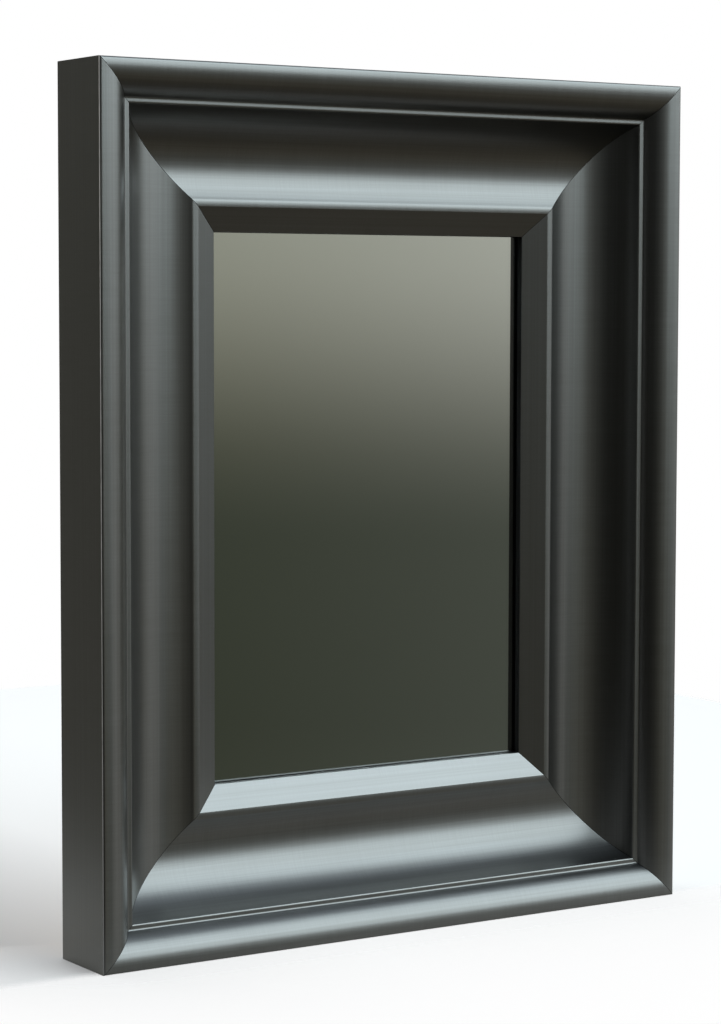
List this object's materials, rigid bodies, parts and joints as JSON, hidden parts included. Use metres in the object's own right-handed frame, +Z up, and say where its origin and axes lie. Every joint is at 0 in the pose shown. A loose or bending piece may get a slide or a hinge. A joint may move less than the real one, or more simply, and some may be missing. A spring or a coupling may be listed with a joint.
{
  "type": "framed wall mirror",
  "caption": "Upright rectangular wall mirror: flat silvered glass in a wide, deep mitred scoop moulding with a dark gunmetal satin finish, backed by a board and hung from D-rings.",
  "frame": {"origin": "on the surface the mirror stands on, under the middle of its overall width and depth", "axes": "+X to the right for a viewer facing the glass, +Y from the glass towards the wall, +Z up"},
  "size_m": [0.46, 0.063, 0.575],
  "materials": {
    "gunmetal_moulding": "timber moulding in a dark gunmetal satin lacquer",
    "mirror_glass": "clear float glass, silvered and painted on its back",
    "white_foam": "closed-cell foam sheet",
    "hardboard": "brown hardboard, smooth face out",
    "zinc_steel": "bright zinc plated steel",
    "black_rubber": "matt black rubber"
  },
  "bodies": {
    "frame": {"top_rail": "gunmetal_moulding", "bottom_rail": "gunmetal_moulding", "left_stile": "gunmetal_moulding", "right_stile": "gunmetal_moulding", "corner_v_nails": "zinc_steel", "mirror_glass": "mirror_glass", "foam_pad": "white_foam", "backing_board": "hardboard", "turn_button_screws": "zinc_steel", "left_hanger_strap": "zinc_steel", "right_hanger_strap": "zinc_steel", "hanger_screws": "zinc_steel", "left_wall_bumper": "black_rubber", "right_wall_bumper": "black_rubber"},
    "turn_button_top_left": {"turn_button_top_left": "zinc_steel"},
    "turn_button_top_right": {"turn_button_top_right": "zinc_steel"},
    "turn_button_bottom_left": {"turn_button_bottom_left": "zinc_steel"},
    "turn_button_bottom_right": {"turn_button_bottom_right": "zinc_steel"},
    "turn_button_left_upper": {"turn_button_left_upper": "zinc_steel"},
    "turn_button_left_lower": {"turn_button_left_lower": "zinc_steel"},
    "turn_button_right_upper": {"turn_button_right_upper": "zinc_steel"},
    "turn_button_right_lower": {"turn_button_right_lower": "zinc_steel"},
    "left_hanger_ring": {"left_hanger_ring": "zinc_steel"},
    "right_hanger_ring": {"right_hanger_ring": "zinc_steel"}
  },
  "joints": [
    {"name": "button_top_left_turn", "type": "hinge", "parent": "frame", "child": "turn_button_top_left", "pos_m": [-0.07, 0.0262, 0.484], "axis": [0, 1, 0], "continuous": true},
    {"name": "button_top_right_turn", "type": "hinge", "parent": "frame", "child": "turn_button_top_right", "pos_m": [0.07, 0.0262, 0.484], "axis": [0, 1, 0], "continuous": true},
    {"name": "button_bottom_left_turn", "type": "hinge", "parent": "frame", "child": "turn_button_bottom_left", "pos_m": [-0.07, 0.0262, 0.091], "axis": [0, 1, 0], "continuous": true},
    {"name": "button_bottom_right_turn", "type": "hinge", "parent": "frame", "child": "turn_button_bottom_right", "pos_m": [0.07, 0.0262, 0.091], "axis": [0, 1, 0], "continuous": true},
    {"name": "button_left_upper_turn", "type": "hinge", "parent": "frame", "child": "turn_button_left_upper", "pos_m": [-0.139, 0.0262, 0.415], "axis": [0, 1, 0], "continuous": true},
    {"name": "button_left_lower_turn", "type": "hinge", "parent": "frame", "child": "turn_button_left_lower", "pos_m": [-0.139, 0.0262, 0.16], "axis": [0, 1, 0], "continuous": true},
    {"name": "button_right_upper_turn", "type": "hinge", "parent": "frame", "child": "turn_button_right_upper", "pos_m": [0.139, 0.0262, 0.415], "axis": [0, 1, 0], "continuous": true},
    {"name": "button_right_lower_turn", "type": "hinge", "parent": "frame", "child": "turn_button_right_lower", "pos_m": [0.139, 0.0262, 0.16], "axis": [0, 1, 0], "continuous": true},
    {"name": "left_ring_swing", "type": "hinge", "parent": "frame", "child": "left_hanger_ring", "pos_m": [-0.18, 0.02898, 0.4195], "axis": [1, 0, 0], "range_deg": [0, 180]},
    {"name": "right_ring_swing", "type": "hinge", "parent": "frame", "child": "right_hanger_ring", "pos_m": [0.18, 0.02898, 0.4195], "axis": [1, 0, 0], "range_deg": [0, 180]}
  ]
}
